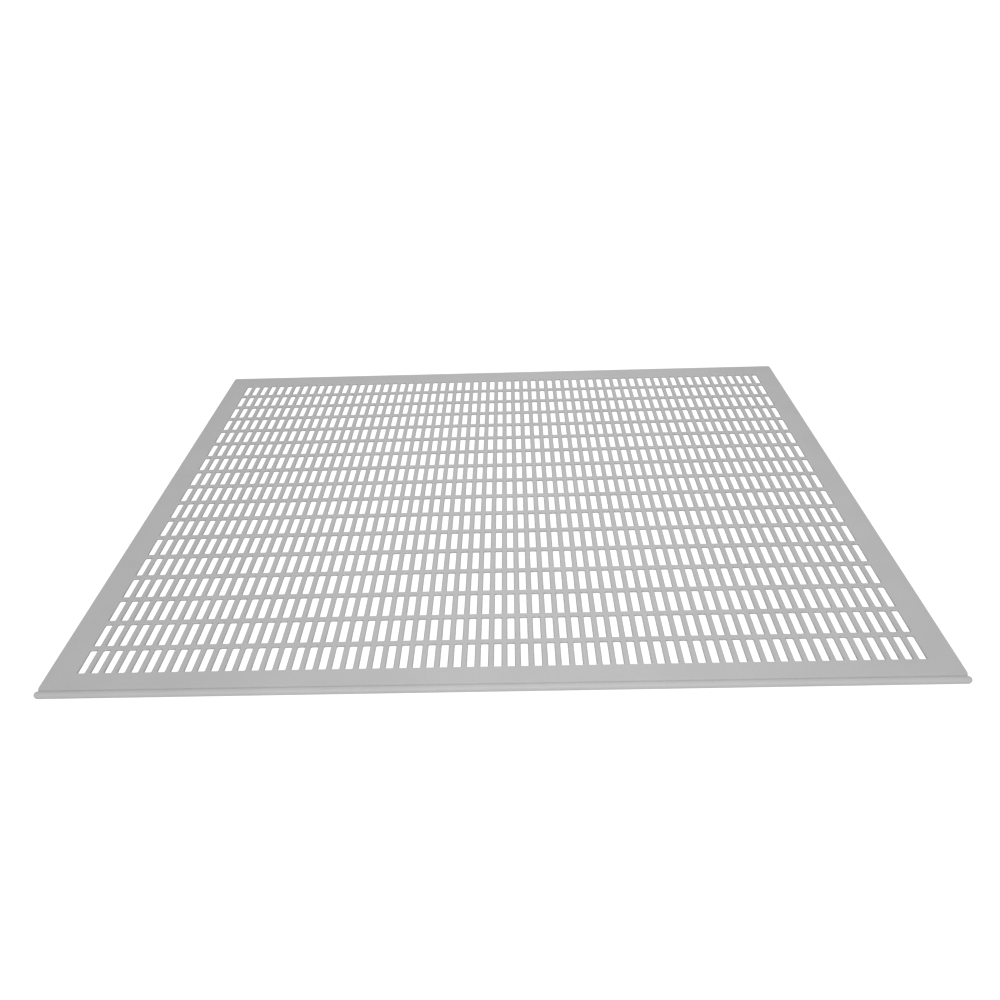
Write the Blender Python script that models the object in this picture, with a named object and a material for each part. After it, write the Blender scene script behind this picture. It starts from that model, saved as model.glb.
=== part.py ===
# Plastic queen excluder for a ten-frame beehive: a thin slotted sheet with a round bead on one long edge.
# Lengths are in metres. X runs along the long edges, the beaded edge faces -Y, and Z is up.

import math

import bmesh
import bpy
from mathutils import Matrix

# Overall plan size, which covers the rim of the hive body.
OVERALL_WIDTH = 0.505
OVERALL_DEPTH = 0.413

# Plain border between the outline and the slots: at the two sides, and at the near and far edges.
SIDE_BORDER = 0.017
END_BORDER = 0.018

# The slots let worker bees through and hold the queen back.
SLOT_COLUMNS = 63
SLOT_ROWS_FRONT = 9
SLOT_ROWS_REAR = 8
SLOT_GAP = 0.0041
SLOT_LENGTH = 0.01895

# The sheet.
SHEET_THICKNESS = 0.0015
CORNER_RADIUS = 0.002
CORNER_SEGMENTS = 3

# The bead along the near edge.
BEAD_DIAMETER = 0.0042
BEAD_SEGMENTS = 24
BEAD_END_RINGS = 6

# Clearances that keep neighbouring pieces apart.
BEAD_CLEARANCE = 0.0003
SPLIT_CLEARANCE = 0.0003

# Derived sizes. The bars share out what the slots leave of the field between the borders.
SLOT_ROWS = SLOT_ROWS_FRONT + SLOT_ROWS_REAR
FIELD_WIDTH = OVERALL_WIDTH - 2 * SIDE_BORDER
FIELD_DEPTH = OVERALL_DEPTH - 2 * END_BORDER
BAR_WIDTH = (FIELD_WIDTH - SLOT_COLUMNS * SLOT_GAP) / (SLOT_COLUMNS - 1)
CROSS_BAR_WIDTH = (FIELD_DEPTH - SLOT_ROWS * SLOT_LENGTH) / (SLOT_ROWS - 1)
COLUMN_PITCH = SLOT_GAP + BAR_WIDTH
ROW_PITCH = SLOT_LENGTH + CROSS_BAR_WIDTH
BEAD_RADIUS = BEAD_DIAMETER / 2
BEAD_Y = -OVERALL_DEPTH / 2 + BEAD_RADIUS
SHEET_FRONT_Y = BEAD_Y + BEAD_RADIUS + BEAD_CLEARANCE
SHEET_REAR_Y = OVERALL_DEPTH / 2
SHEET_BOTTOM_Z = BEAD_RADIUS - SHEET_THICKNESS / 2


def clear_scene():
    for old in list(bpy.data.objects):
        bpy.data.objects.remove(old, do_unlink=True)


def plastic(name, colour, roughness):
    material = bpy.data.materials.new(name)
    material.use_nodes = True
    shader = material.node_tree.nodes["Principled BSDF"]
    shader.inputs["Base Color"].default_value = (*colour, 1.0)
    shader.inputs["Roughness"].default_value = roughness
    shader.inputs["Metallic"].default_value = 0.0
    return material


def add_object(name, bm, material, parent):
    mesh = bpy.data.meshes.new(name)
    bmesh.ops.recalc_face_normals(bm, faces=bm.faces)
    bm.to_mesh(mesh)
    bm.free()
    mesh.materials.append(material)
    piece = bpy.data.objects.new(name, mesh)
    bpy.context.collection.objects.link(piece)
    piece.parent = parent
    return piece


def slot_sides(first_centre, pitch, count, opening):
    """Both sides of every slot along one axis, in order."""
    sides = []
    for index in range(count):
        centre = first_centre + index * pitch
        sides.append(centre - opening / 2)
        sides.append(centre + opening / 2)
    return sides


def slotted_plate(first_row, row_count, y_low, y_high, round_y):
    """A plate with its slots open and the two plan corners at round_y rounded."""
    column_start = -FIELD_WIDTH / 2 + SLOT_GAP / 2
    row_start = -FIELD_DEPTH / 2 + SLOT_LENGTH / 2 + first_row * ROW_PITCH
    x_lines = [-OVERALL_WIDTH / 2]
    x_lines += slot_sides(column_start, COLUMN_PITCH, SLOT_COLUMNS, SLOT_GAP)
    x_lines.append(OVERALL_WIDTH / 2)
    y_lines = [y_low]
    y_lines += slot_sides(row_start, ROW_PITCH, row_count, SLOT_LENGTH)
    y_lines.append(y_high)

    bm = bmesh.new()
    grid = []
    for y in y_lines:
        grid.append([bm.verts.new((x, y, 0.0)) for x in x_lines])
    for row in range(len(y_lines) - 1):
        for column in range(len(x_lines) - 1):
            if row % 2 == 1 and column % 2 == 1:
                continue
            bm.faces.new((
                grid[row][column],
                grid[row][column + 1],
                grid[row + 1][column + 1],
                grid[row + 1][column],
            ))

    corner_row = grid[0] if round_y == y_low else grid[-1]
    bmesh.ops.bevel(
        bm,
        geom=[corner_row[0], corner_row[-1]],
        offset=CORNER_RADIUS,
        offset_type="OFFSET",
        segments=CORNER_SEGMENTS,
        profile=0.5,
        affect="VERTICES",
        material=-1,
    )
    top = bmesh.ops.extrude_face_region(bm, geom=list(bm.faces))
    lifted = [item for item in top["geom"] if isinstance(item, bmesh.types.BMVert)]
    bmesh.ops.translate(bm, verts=lifted, vec=(0.0, 0.0, SHEET_THICKNESS))
    return bm


def edge_bead():
    """A round rod along X, with its ends rounded to the same radius."""
    half_straight = OVERALL_WIDTH / 2 - BEAD_RADIUS
    stations = []
    for ring in range(BEAD_END_RINGS):
        angle = math.radians(90.0) * (ring + 1) / BEAD_END_RINGS
        stations.append((-half_straight - BEAD_RADIUS * math.cos(angle), BEAD_RADIUS * math.sin(angle)))
    stations += [(-x, radius) for x, radius in reversed(stations)]

    bm = bmesh.new()
    rings = []
    for x, radius in stations:
        ring = []
        for step in range(BEAD_SEGMENTS):
            turn = Matrix.Rotation(math.tau * step / BEAD_SEGMENTS, 4, "X")
            ring.append(bm.verts.new(turn @ Matrix.Translation((x, 0.0, radius)).translation))
        rings.append(ring)
    for near, far in zip(rings, rings[1:]):
        for step in range(BEAD_SEGMENTS):
            following = (step + 1) % BEAD_SEGMENTS
            bm.faces.new((near[step], near[following], far[following], far[step]))
    for ring, x in ((rings[0], -OVERALL_WIDTH / 2), (rings[-1], OVERALL_WIDTH / 2)):
        tip = bm.verts.new((x, 0.0, 0.0))
        for step in range(BEAD_SEGMENTS):
            bm.faces.new((ring[step], ring[(step + 1) % BEAD_SEGMENTS], tip))
    for face in bm.faces:
        face.smooth = True
    return bm


clear_scene()

excluder = bpy.data.objects.new("queen_excluder", None)
bpy.context.collection.objects.link(excluder)

# The slotted sheet is one moulding. It is drawn as a front and a rear part that meet inside a cross-bar.
split_y = -FIELD_DEPTH / 2 + SLOT_ROWS_FRONT * ROW_PITCH - CROSS_BAR_WIDTH / 2

front = slotted_plate(0, SLOT_ROWS_FRONT, SHEET_FRONT_Y, split_y - SPLIT_CLEARANCE / 2, SHEET_FRONT_Y)
sheet_front = add_object("sheet_front", front, plastic("front_plastic", (0.50, 0.50, 0.50), 0.5), excluder)
sheet_front.location = (0.0, 0.0, SHEET_BOTTOM_Z)

rear = slotted_plate(
    SLOT_ROWS_FRONT, SLOT_ROWS_REAR, split_y + SPLIT_CLEARANCE / 2, SHEET_REAR_Y, SHEET_REAR_Y
)
sheet_rear = add_object("sheet_rear", rear, plastic("rear_plastic", (0.50, 0.50, 0.50), 0.5), excluder)
sheet_rear.location = (0.0, 0.0, SHEET_BOTTOM_Z)

# The bead stiffens the near edge and stands out above and below the sheet.
bead = add_object("edge_bead", edge_bead(), plastic("bead_plastic", (0.55, 0.55, 0.55), 0.45), excluder)
bead.location = (0.0, BEAD_Y, BEAD_RADIUS)
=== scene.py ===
import math

import bmesh
import bpy
from mathutils import Matrix, Vector


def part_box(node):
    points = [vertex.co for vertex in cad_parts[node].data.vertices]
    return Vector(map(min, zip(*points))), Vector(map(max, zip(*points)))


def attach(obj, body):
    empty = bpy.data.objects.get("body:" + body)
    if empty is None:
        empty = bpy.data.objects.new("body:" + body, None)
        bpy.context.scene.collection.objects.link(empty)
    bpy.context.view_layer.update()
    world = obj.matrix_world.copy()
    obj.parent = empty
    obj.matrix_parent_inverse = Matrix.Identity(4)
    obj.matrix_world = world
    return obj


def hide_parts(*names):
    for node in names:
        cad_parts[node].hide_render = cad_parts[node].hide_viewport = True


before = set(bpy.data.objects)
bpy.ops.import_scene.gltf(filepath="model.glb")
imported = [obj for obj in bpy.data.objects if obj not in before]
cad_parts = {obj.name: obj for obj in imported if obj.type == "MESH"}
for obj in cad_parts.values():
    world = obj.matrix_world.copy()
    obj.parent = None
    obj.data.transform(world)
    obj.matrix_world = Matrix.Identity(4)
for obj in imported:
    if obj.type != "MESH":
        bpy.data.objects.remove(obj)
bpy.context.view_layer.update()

# ---------------------------------------------------------------------------------------------
# Slotted sheet
# One injection moulding of light grey polypropylene, 1.5 mm thick, with a satin, finely grained
# face. The slots are gauged to pass worker bees, and every edge is rounded so wings aren't torn.
# ---------------------------------------------------------------------------------------------

front_low, front_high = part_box("sheet_front")
rear_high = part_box("sheet_rear")[1]
bead_low, bead_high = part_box("edge_bead")

SLOT_COLUMNS = 63
SLOT_ROWS = 17
SLOT_GAP = 0.0041
SLOT_LENGTH = 0.01895
SLOT_CORNER = 0.0002
SIDE_BORDER = 0.017
END_BORDER = 0.018
EDGE_ROUND = 0.0006
SLOT_END_ROUND = 0.0003
NEAR_ROUND = 0.0023
PLAN_CORNER = 0.0022
PLAN_CORNER_SEGMENTS = 5
SLOT_CORNER_SEGMENTS = 1
SLOT_ROUND_STEPS = 2
BORDER_ROUND_STEPS = 6
FLAT_NORMAL = 0.999
CELL_MERGE = 0.00001
HALF_MERGE = 0.000001

half_thickness = (front_high.z - front_low.z) / 2
middle = (front_high.z + front_low.z) / 2
overall_width = bead_high.x - bead_low.x
overall_depth = rear_high.y - bead_low.y
field_width = overall_width - 2 * SIDE_BORDER
field_depth = overall_depth - 2 * END_BORDER
column_pitch = (field_width - SLOT_GAP) / (SLOT_COLUMNS - 1)
row_pitch = (field_depth - SLOT_LENGTH) / (SLOT_ROWS - 1)


def verts_of(elements):
    return [item for item in elements if isinstance(item, bmesh.types.BMVert)]


def edges_of(elements):
    return [item for item in elements if isinstance(item, bmesh.types.BMEdge)]


def rectangle(bm, width, depth, centre_y, height, corner, segments):
    """Edges of a flat rectangle in plan, with its corners rounded, and no face."""
    made = bmesh.ops.create_grid(bm, x_segments=1, y_segments=1, size=0.5)
    corners = made["verts"]
    bmesh.ops.scale(bm, vec=(width, depth, 1.0), verts=corners)
    bmesh.ops.translate(bm, vec=(0.0, centre_y, height), verts=corners)
    loop_face = corners[0].link_faces[0]
    if corner > 0.0:
        bmesh.ops.bevel(
            bm, geom=corners, offset=corner, offset_type="OFFSET", segments=segments,
            profile=0.5, affect="VERTICES", material=-1,
        )
        loop_face = max(bm.faces, key=lambda face: len(face.verts))
    edges = list(loop_face.edges)
    bmesh.ops.delete(bm, geom=[loop_face], context="FACES_ONLY")
    return edges


def round_over(bm, edges, section, steps):
    """Draws a loop down to the middle of the sheet. section gives a vertex's move for each turn."""
    start = {vert: vert.co.copy() for edge in edges for vert in edge.verts}
    for step in range(1, steps + 1):
        turn = math.pi / 2 * step / steps
        drawn = bmesh.ops.extrude_edge_only(bm, edges=edges)["geom"]
        begun = {}
        for vert in verts_of(drawn):
            neighbours = [edge.other_vert(vert) for edge in vert.link_edges]
            above = next(other for other in neighbours if other in start)
            begun[vert] = start[above]
            vert.co = start[above] + section(start[above], turn)
        start = begun
        edges = edges_of(drawn)


sheet_bm = bmesh.new()

# One cell of the grille: the slot's rounded lip and half the bar on each side of it.
lip_width = SLOT_GAP + 2 * EDGE_ROUND
lip_length = SLOT_LENGTH + 2 * SLOT_END_ROUND
lip_corner = SLOT_CORNER + EDGE_ROUND
slot_loop = rectangle(
    sheet_bm, lip_width, lip_length, 0.0, half_thickness, lip_corner, SLOT_CORNER_SEGMENTS
)
cell_loop = rectangle(sheet_bm, column_pitch, row_pitch, 0.0, half_thickness, 0.0, SLOT_CORNER_SEGMENTS)
bmesh.ops.triangle_fill(
    sheet_bm, use_beauty=True, use_dissolve=False, edges=slot_loop + cell_loop, normal=(0.0, 0.0, 1.0)
)


def outward_from(place, width, depth, corner):
    """Unit direction, in plan, that leaves a centred, rounded rectangle at a point of its outline."""
    core_x = max(-width / 2 + corner, min(width / 2 - corner, place.x))
    core_y = max(-depth / 2 + corner, min(depth / 2 - corner, place.y))
    return Vector((place.x - core_x, place.y - core_y, 0.0)).normalized()


def into_slot(place, turn):
    way = outward_from(place, lip_width, lip_length, lip_corner)
    along = math.sin(turn)
    down = half_thickness * (1.0 - math.cos(turn))
    return Vector((-way.x * EDGE_ROUND * along, -way.y * SLOT_END_ROUND * along, -down))


round_over(sheet_bm, slot_loop, into_slot, SLOT_ROUND_STEPS)

# The cell is repeated along a row, and the row across the sheet.
repeats = (
    (SLOT_COLUMNS, Vector((column_pitch, 0.0, 0.0))),
    (SLOT_ROWS, Vector((0.0, row_pitch, 0.0))),
)
for count, step in repeats:
    unit = list(sheet_bm.verts) + list(sheet_bm.edges) + list(sheet_bm.faces)
    for index in range(1, count):
        copy = bmesh.ops.duplicate(sheet_bm, geom=unit)["geom"]
        bmesh.ops.translate(sheet_bm, vec=step * index, verts=verts_of(copy))
    bmesh.ops.translate(sheet_bm, vec=-step * (count - 1) / 2, verts=list(sheet_bm.verts))
bmesh.ops.remove_doubles(sheet_bm, verts=list(sheet_bm.verts), dist=CELL_MERGE)

# The plain border runs from the outermost cells to the rounded edge of the sheet.
grille_edges = [
    edge for edge in sheet_bm.edges
    if edge.is_boundary and all(vert.co.z > half_thickness - HALF_MERGE for vert in edge.verts)
]
flat_width = overall_width - 2 * EDGE_ROUND
flat_near = bead_high.y + NEAR_ROUND
flat_far = rear_high.y - EDGE_ROUND
flat_depth = flat_far - flat_near
flat_centre = (flat_far + flat_near) / 2
flat_corner = PLAN_CORNER - EDGE_ROUND
border_loop = rectangle(
    sheet_bm, flat_width, flat_depth, flat_centre, half_thickness, flat_corner, PLAN_CORNER_SEGMENTS
)
bmesh.ops.triangle_fill(
    sheet_bm,
    use_beauty=True,
    use_dissolve=False,
    edges=grille_edges + border_loop,
    normal=(0.0, 0.0, 1.0),
)


def out_of_sheet(place, turn):
    from_centre = place - Vector((0.0, flat_centre, 0.0))
    way = outward_from(from_centre, flat_width, flat_depth, flat_corner)
    along = math.sin(turn)
    down = half_thickness * (1.0 - math.cos(turn))
    round_y = EDGE_ROUND if way.y > 0.0 else NEAR_ROUND
    return Vector((way.x * EDGE_ROUND * along, way.y * round_y * along, -down))


round_over(sheet_bm, border_loop, out_of_sheet, BORDER_ROUND_STEPS)

# The lower half of the moulding mirrors the upper half about the parting line.
bmesh.ops.mirror(
    sheet_bm,
    geom=list(sheet_bm.verts) + list(sheet_bm.edges) + list(sheet_bm.faces),
    matrix=Matrix.Identity(4),
    merge_dist=HALF_MERGE,
    axis="Z",
)
bmesh.ops.remove_doubles(sheet_bm, verts=list(sheet_bm.verts), dist=HALF_MERGE)
bmesh.ops.translate(sheet_bm, vec=(0.0, 0.0, middle), verts=list(sheet_bm.verts))
bmesh.ops.recalc_face_normals(sheet_bm, faces=list(sheet_bm.faces))
for face in sheet_bm.faces:
    face.smooth = abs(face.normal.z) < FLAT_NORMAL
for edge in sheet_bm.edges:
    flat_sides = [abs(face.normal.z) > FLAT_NORMAL for face in edge.link_faces]
    edge.smooth = all(flat_sides) or not any(flat_sides)

sheet_mesh = bpy.data.meshes.new("slotted_sheet")
sheet_bm.to_mesh(sheet_mesh)
sheet_bm.free()
slotted_sheet = bpy.data.objects.new("slotted_sheet", sheet_mesh)
bpy.context.collection.objects.link(slotted_sheet)


def grained_plastic(name, tone, roughness):
    """Satin moulded plastic: a faintly cloudy tone, a fine grain and a sheen that drifts a little."""
    material = bpy.data.materials.new(name)
    material.use_nodes = True
    nodes = material.node_tree.nodes
    links = material.node_tree.links
    shader = nodes["Principled BSDF"]
    shader.inputs["Metallic"].default_value = 0.0
    shader.inputs["IOR"].default_value = 1.49
    place = nodes.new("ShaderNodeTexCoord")

    cloud = nodes.new("ShaderNodeTexNoise")
    cloud.inputs["Scale"].default_value = 28.0
    cloud.inputs["Detail"].default_value = 3.0
    links.new(place.outputs["Object"], cloud.inputs["Vector"])
    tint = nodes.new("ShaderNodeValToRGB")
    tone_drift = 0.025
    darker = tone * (1.0 - tone_drift)
    lighter = tone * (1.0 + tone_drift)
    tint.color_ramp.elements[0].position = 0.3
    tint.color_ramp.elements[0].color = (darker, darker, darker, 1.0)
    tint.color_ramp.elements[1].position = 0.7
    tint.color_ramp.elements[1].color = (lighter, lighter, lighter, 1.0)
    links.new(cloud.outputs["Fac"], tint.inputs["Fac"])

    speck = nodes.new("ShaderNodeTexNoise")
    speck.inputs["Scale"].default_value = 1400.0
    speck.inputs["Detail"].default_value = 2.0
    links.new(place.outputs["Object"], speck.inputs["Vector"])
    grain_tint = nodes.new("ShaderNodeMix")
    grain_tint.data_type = "RGBA"
    grain_tint.blend_type = "OVERLAY"
    grain_tint.inputs["Factor"].default_value = 0.06
    links.new(tint.outputs["Color"], grain_tint.inputs["A"])
    links.new(speck.outputs["Color"], grain_tint.inputs["B"])
    links.new(grain_tint.outputs["Result"], shader.inputs["Base Color"])

    sheen = nodes.new("ShaderNodeMapRange")
    sheen_drift = 0.05
    sheen.inputs["To Min"].default_value = roughness - sheen_drift
    sheen.inputs["To Max"].default_value = roughness + sheen_drift
    links.new(cloud.outputs["Fac"], sheen.inputs["Value"])
    links.new(sheen.outputs["Result"], shader.inputs["Roughness"])

    bump = nodes.new("ShaderNodeBump")
    bump.inputs["Strength"].default_value = 0.12
    bump.inputs["Distance"].default_value = 0.00005
    links.new(speck.outputs["Fac"], bump.inputs["Height"])
    links.new(bump.outputs["Normal"], shader.inputs["Normal"])
    return material


sheet_mesh.materials.append(grained_plastic("sheet_plastic", tone=0.5, roughness=0.55))
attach(slotted_sheet, "root")
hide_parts("sheet_front", "sheet_rear")

# ---------------------------------------------------------------------------------------------
# Edge bead
# A solid round rod of the same plastic along the near edge, as long as the sheet is wide, with
# domed ends. It is taken to be moulded with the sheet, and it stiffens that edge.
# ---------------------------------------------------------------------------------------------

BEAD_SEGMENTS = 32
DOME_RINGS = 16
WAIST_TOLERANCE = 1e-6

bead_radius = (bead_high.z - bead_low.z) / 2
bead_y = (bead_high.y + bead_low.y) / 2
half_straight = overall_width / 2 - bead_radius

bead_bm = bmesh.new()
dome = bmesh.ops.create_uvsphere(
    bead_bm, u_segments=BEAD_SEGMENTS, v_segments=DOME_RINGS, radius=bead_radius
)
bmesh.ops.rotate(bead_bm, verts=dome["verts"], matrix=Matrix.Rotation(math.radians(90), 3, "Y"))
waist = [edge for edge in bead_bm.edges if all(abs(vert.co.x) < WAIST_TOLERANCE for vert in edge.verts)]
bmesh.ops.split_edges(bead_bm, edges=waist)
for side in (-1.0, 1.0):
    half_faces = [face for face in bead_bm.faces if face.calc_center_median().x * side > 0.0]
    half_verts = {vert for face in half_faces for vert in face.verts}
    bmesh.ops.translate(bead_bm, vec=(side * half_straight, 0.0, 0.0), verts=list(half_verts))
rims = [edge for edge in bead_bm.edges if edge.is_boundary]
bmesh.ops.bridge_loops(bead_bm, edges=rims)
bmesh.ops.translate(bead_bm, vec=(0.0, bead_y, middle), verts=list(bead_bm.verts))
bmesh.ops.recalc_face_normals(bead_bm, faces=list(bead_bm.faces))
for face in bead_bm.faces:
    face.smooth = True

bead_mesh = bpy.data.meshes.new("round_bead")
bead_bm.to_mesh(bead_mesh)
bead_bm.free()
round_bead = bpy.data.objects.new("round_bead", bead_mesh)
bpy.context.collection.objects.link(round_bead)
bead_mesh.materials.append(grained_plastic("bead_plastic_satin", tone=0.5, roughness=0.5))
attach(round_bead, "root")
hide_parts("edge_bead")

# ---------------------------------------------------------------------------------------------
# Studio
# A plain white table and backdrop, a large soft box in front, a weaker one behind, a narrow soft
# strip over the middle of the sheet, and the camera. The table and backdrop show as pure white.
# ---------------------------------------------------------------------------------------------

FLOOR_HALF_WIDTH = 3.0
SHOWN_WHITE = 1.1
ROOM_LIGHT = 0.495

floor_bm = bmesh.new()
bmesh.ops.create_grid(floor_bm, x_segments=1, y_segments=1, size=FLOOR_HALF_WIDTH)
floor_mesh = bpy.data.meshes.new("floor")
floor_bm.to_mesh(floor_mesh)
floor_bm.free()
floor = bpy.data.objects.new("floor", floor_mesh)
bpy.context.collection.objects.link(floor)
white = bpy.data.materials.new("white_table")
white.use_nodes = True
white_nodes = white.node_tree.nodes
white_shader = white_nodes["Principled BSDF"]
white_shader.inputs["Base Color"].default_value = (0.8, 0.8, 0.8, 1.0)
white_shader.inputs["Roughness"].default_value = 1.0
white_shader.inputs["Specular IOR Level"].default_value = 0.0
glow = white_nodes.new("ShaderNodeEmission")
glow.inputs["Strength"].default_value = SHOWN_WHITE
seen = white_nodes.new("ShaderNodeLightPath")
choice = white_nodes.new("ShaderNodeMixShader")
white.node_tree.links.new(seen.outputs["Is Camera Ray"], choice.inputs["Fac"])
white.node_tree.links.new(white_shader.outputs["BSDF"], choice.inputs[1])
white.node_tree.links.new(glow.outputs["Emission"], choice.inputs[2])
white.node_tree.links.new(choice.outputs["Shader"], white_nodes["Material Output"].inputs["Surface"])
floor_mesh.materials.append(white)

world = bpy.data.worlds.new("studio")
world.use_nodes = True
world_nodes = world.node_tree.nodes
room_glow = world_nodes["Background"]
room_glow.inputs["Color"].default_value = (1.0, 1.0, 1.0, 1.0)
room_glow.inputs["Strength"].default_value = ROOM_LIGHT
backdrop = world_nodes.new("ShaderNodeBackground")
backdrop.inputs["Color"].default_value = (1.0, 1.0, 1.0, 1.0)
backdrop.inputs["Strength"].default_value = SHOWN_WHITE
faced = world_nodes.new("ShaderNodeLightPath")
sky = world_nodes.new("ShaderNodeMixShader")
world.node_tree.links.new(faced.outputs["Is Camera Ray"], sky.inputs["Fac"])
world.node_tree.links.new(room_glow.outputs["Background"], sky.inputs[1])
world.node_tree.links.new(backdrop.outputs["Background"], sky.inputs[2])
world.node_tree.links.new(sky.outputs["Shader"], world_nodes["World Output"].inputs["Surface"])
bpy.context.scene.world = world


def soft_box(name, width, height, power, location, tilt):
    """A soft light that the camera doesn't see. tilt is its turn about the X axis, in degrees."""
    light = bpy.data.lights.new(name, "AREA")
    light.shape = "RECTANGLE"
    light.size = width
    light.size_y = height
    light.energy = power
    box = bpy.data.objects.new(name, light)
    box.location = location
    box.rotation_euler = (math.radians(tilt), 0.0, 0.0)
    box.visible_camera = False
    bpy.context.collection.objects.link(box)


soft_box("front_box", width=1.6, height=0.8, power=18.0, location=(0.0, -1.75, 1.25), tilt=54.0)
soft_box("back_box", width=1.6, height=0.6, power=1.6, location=(0.0, 1.3, 0.7), tilt=-60.0)
soft_box("top_strip", width=0.15, height=0.7, power=0.47, location=(0.035, -0.03, 0.35), tilt=0.0)

camera_data = bpy.data.cameras.new("camera")
camera_data.sensor_width = 36.0
camera_data.lens = 27.6
camera_data.shift_x = -0.002
camera_data.shift_y = 0.112
camera = bpy.data.objects.new("camera", camera_data)
camera.location = (0.0111, -0.4919, 0.3008)
camera.rotation_euler = (math.radians(49.53), math.radians(1.52), math.radians(0.15))
bpy.context.collection.objects.link(camera)
bpy.context.scene.camera = camera
bpy.context.scene.view_settings.view_transform = "Standard"
